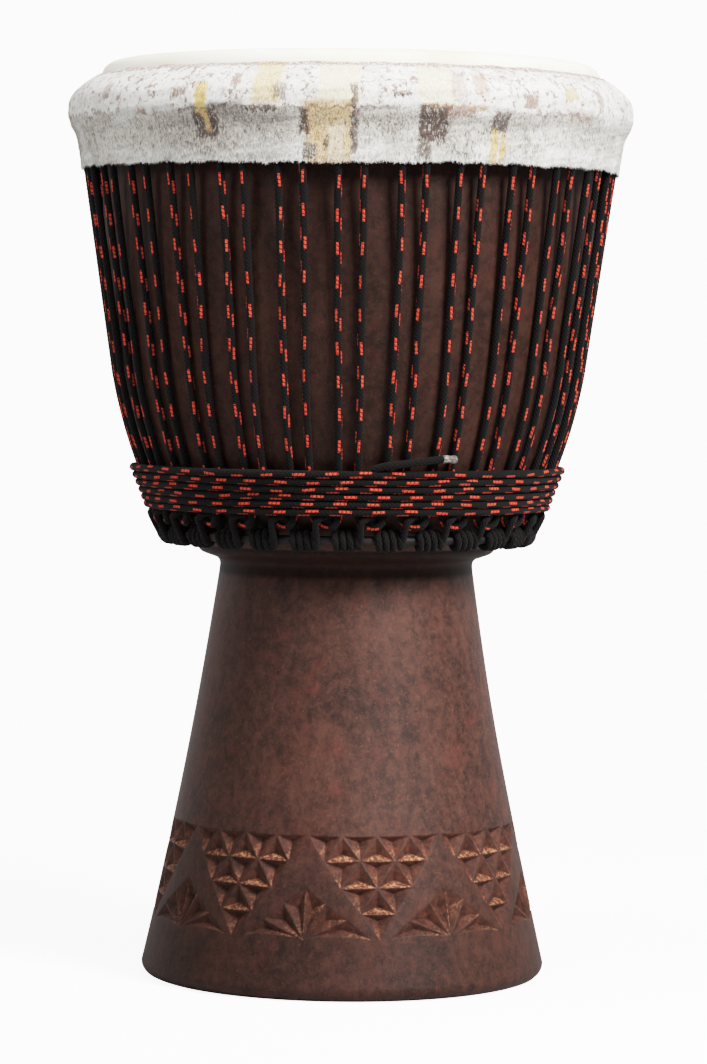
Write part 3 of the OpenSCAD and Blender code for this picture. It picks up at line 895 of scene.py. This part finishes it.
def on_fall(turn, along, out):
    """Points of the hanging part of the collar: along mm down from the crease, and out from its middle,
    where 1 is the outer side of the skin."""
    a = np.radians(turn)
    r, z = (np.interp(along, FALL_ALONG, FALL[:, i]) + out * np.interp(along, FALL_ALONG, FALL_SIDE[:, i])
            for i in (0, 1))
    low, high = smooth(556, 531, z), smooth(589, 580, z)
    hem = (wobble(a, 21, (2, 3, 5, 7, 11), 0.8) + wobble(a, 22, (23, 37, 52, 71, 94), 0.45)
           + wobble(a, 23, (130, 171, 214, 263), 0.3))
    pull = 0.5 - 0.5 * np.cos(np.radians((turn - FIRST_PAIR) * LOOPS))
    r = r - 1.1 * pull * low + high * (1 - 0.6 * low) * wobble(a + z * 0.01, 31, (3, 4, 6, 9, 14), 0.28)
    ridge = np.exp(-((z - 563.5 - wobble(a, 34, (4, 7, 13, 22), 1.6)) / 1.5) ** 2)
    r = r + ridge * (0.35 + wobble(a, 33, (9, 17, 26, 41, 63), 0.3))
    r = r + high * wobble(a + z * 0.08, 35, (48, 77, 112, 150), 0.07)
    r = r + high * wobble(a - z * 0.05, 36, (19, 28, 36), 0.16)
    return place(turn, np.minimum(r, COLLAR_R + 0.35 * out), z + hem * low)


def hairs(count):
    """Short hairs lying down the outside of the collar and past its hem: points, triangles, strand tone."""
    rng = np.random.default_rng(41)
    length = rng.uniform(2.2, 5.0, count)
    at_hem = rng.random(count) < 0.3
    root = FALL_ALONG[-1] * np.where(at_hem, 1 - 0.10 * rng.random(count), rng.uniform(0.02, 0.99, count))
    turn = rng.uniform(0, 360, count)
    width = rng.uniform(0.16, 0.30, count) / 3.2
    lean = rng.normal(0, 0.35, count) * length / 3.2
    tip = np.minimum(root + length, FALL_ALONG[-1])
    over = np.maximum(root + length - FALL_ALONG[-1], 0) * 0.45
    lift = rng.uniform(1.1, 2.0, count)
    left, right = (on_fall(turn + side * width, root, np.full(count, 0.9)) for side in (-1, 1))
    end = on_fall(turn + lean, tip, lift)
    end[:, 2] -= over
    points = np.stack([left, right, end], 1)
    return points.reshape(-1, 3), np.arange(3 * count).reshape(-1, 3), np.repeat(rng.random(count), 3)


def make_collar(material):
    """Skin folded round the flesh ring, up and over the crease, and hanging outside the rings."""
    turn = np.arange(SKIN_COLS) * 360 / SKIN_COLS
    a = np.radians(turn)
    fold = fold_path()
    fold_side = two_sides(fold, HIDE)

    def folded(i, out):
        r, z = fold[i] + out * fold_side[i]
        return place(turn, r, z + float(smooth(584, 590, z)) * wobble(a, 37, (5, 8, 13, 29, 44), 0.3))
    rows = [folded(i, 1) for i in range(len(fold))]
    rows += [on_fall(turn, np.full(SKIN_COLS, x), 1) for x in np.linspace(0, FALL_ALONG[-1], 58)]
    rows += [on_fall(turn, np.full(SKIN_COLS, x), -1) for x in np.linspace(FALL_ALONG[-1], 0, 20)]
    rows += [folded(i, -1) for i in range(len(fold) - 1, -1, -1)]
    skin = np.vstack(rows)
    strands, blades, tone = hairs(36000)
    points = np.vstack([skin, strands])
    faces = [ring_quads(len(rows), SKIN_COLS, closed_rows=True), blades + len(skin)]
    signed = np.degrees(np.arctan2(points[:, 0], -points[:, 1]))
    strand = np.concatenate([np.full(len(skin), 0.5), tone])
    values = {"turn": signed, "tall": points[:, 2], "strand": strand}
    return build_mesh("collar", points, faces, material, values)


# ---------------- ropes

def bend_points(k):
    """Bottom bend of the rope between pair k and the next, under the bridge of cord."""
    middle = hitch_turn(k) + PITCH / 2
    shape = ((-1, 26.2, 3.2), (-1, 28.5, 3.5), (-0.97, 30.9, 4.1), (-0.64, 33.7, 5.2), (0, 34.9, 6.9),
             (0.62, 33.8, 8.6), (0.95, 31.5, 7.1), (1, 28.6, 3.7), (1, 26.2, 3.2))
    return np.array([place(middle + x * GAP_HALF, *on_bowl(t, d)) for x, t, d in shape])


def hitch_turn(k):
    """Direction of pair k of the uprights, in degrees from the front."""
    return FIRST_PAIR + k * PITCH


def upright_points(turn, sway):
    """Upright from its top foot down to where the bottom bend begins."""
    points = [place(turn, *CROWN_FOOT), place(turn, *CROWN_KNEE)]
    knee, low = np.array(CROWN_KNEE), on_bowl(10, ROPE_OFF)
    for u in np.linspace(0.06, 0.97, 14):
        r, z = knee + (low - knee) * u
        points.append(place(turn + sway * math.sin(math.pi * u), r, z))
    for t in np.linspace(10, 24.2, 9):
        points.append(place(turn, *on_bowl(t, ROPE_OFF)))
    return np.array(points)


def make_lacing(material):
    """The long zigzag of rope between the crown ring and the bottom ring, as one closed length."""
    rng = np.random.default_rng(11)
    path = []
    half = CROWN_FOOT[0] * math.sin(math.radians(PAIR_HALF))
    for k in range(LOOPS):
        turn = hitch_turn(k)
        a = math.radians(turn)
        hub = place(turn, CROWN_FOOT[0] * math.cos(math.radians(PAIR_HALF)), CROWN_FOOT[1])
        across = np.array([math.cos(a), math.sin(a), 0])
        for w in np.radians((150, 120, 90, 60, 30)):
            path.append(hub + half * (math.cos(w) * across + math.sin(w) * np.array([0, 0, 1])))
        path.extend(upright_points(turn + PAIR_HALF, rng.normal() * 0.22))
        path.extend(bend_points(k))
        path.extend(upright_points(turn + PITCH - PAIR_HALF, rng.normal() * 0.22)[::-1])
    curve = spline(path, 6, closed=True)
    return rope_mesh("lacing", curve, ROPE, material, 0.9, closed=True)


def wrap_place(k):
    """(radius, height) of turn k of the band. The lowest two stand a little further off the wood."""
    off = 2 * ROPE_OFF + 2.1 + (1.0, 0.4, 0, 0, 0, 0)[k]
    z = WRAP_LOW + k * WRAP_RISE
    return np.array([bowl_radius(z, off), z])


def make_wrap(material):
    """Six turns of rope round the foot of the bowl, stepping up at the back; the ends tuck in."""
    path = []
    cross = 14
    for k in range(WRAP_TURNS):
        here = wrap_place(k)
        turns = np.arange(180 + cross, 540 - cross + 0.1, 2.0)
        for t in turns:
            a = math.radians(t)
            lift = 0.12 * math.sin(3 * a + k) + 0.08 * math.sin(7 * a + 2 * k)
            path.append(place(t, here[0], here[1] + lift))
        if k < WRAP_TURNS - 1:
            there = wrap_place(k + 1)
            for u in np.linspace(0.12, 0.88, 7):
                v = u * u * (3 - 2 * u)
                r, z = here + (there - here) * v
                path.append(place(180 - cross + u * 2 * cross, r + 0.15, z))
    start, end = wrap_place(0), wrap_place(WRAP_TURNS - 1)
    first, last = 180 + cross, 180 - cross
    lead = [place(first - 5.5, start[0] - 4.5, start[1] + 0.6), place(first - 2.5, start[0] - 1.2, start[1])]
    tail = [place(last + 2.5, end[0] - 1.2, end[1]), place(last + 5.5, end[0] - 4.5, end[1] - 0.6)]
    curve = spline(lead + path + tail, 3)
    return rope_mesh("wrap", curve, ROPE, material, 0.8)


def tail_place(turn, z, off):
    """Point at a direction and height, off outside the wood of the bowl."""
    return place(turn, bowl_radius(z, off), z)


def make_tail(material, tip_material):
    """Loose end of the rope, lying over the uprights just above the wrap, with its fused tip."""
    low = WRAP_LOW + WRAP_TURNS * WRAP_RISE
    # direction, height above the band, distance from the wood
    loose = ((6.5, -2.2, 6.2), (8.2, -0.2, 7.6), (10.5, 1.0, 8.4), (14, 2.1, 8.5), (18, 3.2, 8.4),
             (21.5, 4.4, 8.4), (24.5, 5.2, 8.4))
    fused = ((24.3, 5.15, 8.4), (26.4, 5.3, 8.4), (28.4, 4.9, 8.2))
    path, tip = (spline([tail_place(t, low + up, off) for t, up, off in spots], 10)
                 for spots in (loose, fused))
    body = rope_mesh("tail", path, ROPE, material, 0.8, phase=2.0)

    def shape(u):
        return 1.02 + 0.06 * np.sin(u * 9) - 0.5 * np.clip((u - 0.86) / 0.14, 0, 1) ** 2
    end = rope_mesh("tail_tip", tip, ROPE, tip_material, 0.5, taper=shape, relief=0.06)
    return body, end


def make_cradle(material):
    """Plain cord: three turns round the bottom ring at each pair of ropes, and a bridge to the next."""
    ring = on_bowl(RING_SLOPE, RING_OFF)
    rng = np.random.default_rng(5)
    path = []
    turns = 3
    # hitch: degrees from its middle, angle round the ring's rod, distance from the rod's middle
    hitch = [(-3.7, 60, 5.7)]
    for i in range(6 * turns + 2):
        hitch.append((-3.5 + 7.0 * i / (6 * turns + 1), -60 * i, 5.4 + 0.15 * math.sin(i * 1.9)))
    hitch.append((3.8, 8 - 360 * turns, 6.0))
    # bridge: share of the half gap, slope of the bowl, distance from the wood
    bridge = ((-0.68, 32.2, 10.4), (-0.44, 31.0, 9.4), (-0.17, 30.5, 7.6), (0.18, 31.3, 4.7),
              (0.5, 32.9, 2.6), (0.78, 34.9, 2.9))
    for k in range(LOOPS):
        turn = hitch_turn(k) + rng.normal() * 0.12
        for x, way, reach in hitch:
            w = math.radians(way)
            path.append(place(turn + x, ring[0] + reach * math.cos(w), ring[1] + reach * math.sin(w)))
        middle = hitch_turn(k) + PITCH / 2
        for x, t, d in bridge:
            path.append(place(middle + x * GAP_HALF, *on_bowl(t, d)))
    curve = spline(path, 8, closed=True)
    return rope_mesh("cradle", curve, CORD, material, 0.8, closed=True, outward=False)


# ---------------- put together

wood = wood_paint()
flecked = rope_paint("flecked_rope", True)
plain = rope_paint("plain_cord", False)
steel = steel_paint()
hidden_cord = cad_cord_paint()


def seat(piece, body, node):
    """Put a piece on its body in place of its CAD node."""
    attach(piece, body)
    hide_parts(node)


seat(make_shell(wood), "drum", "drum_shell")
seat(make_membrane(head_paint()), "drum", "head_membrane")
seat(make_collar(hide_paint()), "crown", "head_collar")
seat(make_wrap(flecked), "drum", "wrap_rope")
tail, tip = make_tail(plain, melted_paint())
seat(tail, "drum", "rope_tail")
seat(tip, "drum", "rope_tail_tip")
seat(make_cradle(plain), "drum", "bottom_cradle_cord")

lacing = make_lacing(flecked)
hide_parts("lacing_rope")
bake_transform(lacing)

for name, material in (("bottom_ring", steel), ("crown_ring", steel), ("flesh_ring", steel),
                       ("crown_cradle_cord", hidden_cord)):
    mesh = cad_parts[name].data
    mesh.materials.clear()
    mesh.materials.append(material)

# ---------------- stage, light and camera


def make_stage():
    """Round of pale floor that fades into the backdrop."""
    p = Paint("floor")
    x, y = p.parts(p.place())[:2]
    away = p.math("SQRT", x * x + y * y)
    spot = p.noise(p.place(), 3.0, 3)
    seen = Value(p, p.node("ShaderNodeLightPath", {}).outputs["Is Camera Ray"])
    p.finish(Base_Color=p.mix(spot, (0.48, 0.48, 0.48), (0.51, 0.51, 0.51)), Roughness=0.9,
             Alpha=1.0 - p.step(away, 0.35, 1.3), Emission_Color=(1, 1, 1), Emission_Strength=seen * 2.2)
    ways = np.arange(64) * 360 / 64
    points = np.vstack([place(ways, 1500, 0), [[0, 0, 0]]])
    j = np.arange(64)
    floor = build_mesh("floor", points, [np.stack([j, (j + 1) % 64, np.full(64, 64)], -1)], p.material)


# strength of the backdrop as a light, to the camera, and how much more of it shows in reflections
LIT, SEEN, BEHIND = 0.28, 2.9, 0.8


def make_world():
    """White backdrop. It lights the drum weakly, but shows in its edges, which reflect what is behind."""
    p = Paint("world", bpy.data.worlds, "Background")
    ray = p.node("ShaderNodeLightPath", {}).outputs
    y = p.parts(p.node("ShaderNodeTexCoord", {}).outputs["Generated"])[1]
    seen = p.node("ShaderNodeMapRange", {"Value": ray["Is Camera Ray"], "To Min": LIT, "To Max": SEEN})
    behind = p.node("ShaderNodeMapRange", {"Value": y, "From Max": 0.6, "To Max": BEHIND})
    extra = Value(p, ray["Is Glossy Ray"]) * Value(p, behind.outputs["Result"])
    bpy.context.scene.world = p.finish(Color=(1, 1, 1), Strength=extra + Value(p, seen.outputs["Result"]))


def area_light(name, spot, aim, size, power, spread=180):
    light = bpy.data.lights.new(name, "AREA")
    light.energy, light.size, light.spread = power, size, math.radians(spread)
    lamp = add_object(name, light)
    lamp.location = spot
    lamp.rotation_euler = (Vector(aim) - Vector(spot)).to_track_quat("-Z", "Y").to_euler()
    lamp.visible_camera = False


def set_exposure():
    """Picture that keeps the shadows deep and rolls off bright surfaces instead of clipping them."""
    look = bpy.context.scene.view_settings
    look.view_transform = "Standard"
    look.use_curve_mapping = True
    mapping = look.curve_mapping
    mapping.clip_max_x = 3.0
    curve = mapping.curves[3]
    curve.points[1].location = (3.0, 0.97)
    for x, y in ((0.05, 0.046), (0.25, 0.26), (0.5, 0.48), (1.0, 0.71), (2.0, 0.89)):
        curve.points.new(x, y)
    mapping.update()


def make_camera():
    """Level with the bowl, in front of it, tipped down and rolled a little."""
    distance, height, tip, roll = 2.651, 0.4103, 2.54, 0.6
    eye = Vector((0.0, -distance, height))
    aim = Vector((0.0046, 0.0, height - distance * math.tan(math.radians(tip))))
    camera = bpy.data.cameras.new("camera")
    camera.lens = 135.6
    holder = add_object("camera", camera)
    look = (aim - eye).to_track_quat("-Z", "Y")
    holder.rotation_mode = "QUATERNION"
    holder.rotation_quaternion = look @ Quaternion((0, 0, 1), math.radians(roll))
    holder.location = eye
    bpy.context.scene.camera = holder


make_stage()
make_world()
area_light("key", (1.8, -1.9, 2.4), (0, 0, 0.3), 1.2, 238)
area_light("fill", (-1.9, -1.7, 2.2), (0, 0, 0.5), 1.6, 6)
area_light("overhead", (-0.5, -0.7, 2.9), (0, 0, 0.6), 1.0, 30)
area_light("side", (-0.8, -0.65, 0.95), (-0.12, -0.12, 0.57), 0.3, 0.5, 60)
set_exposure()
make_camera()
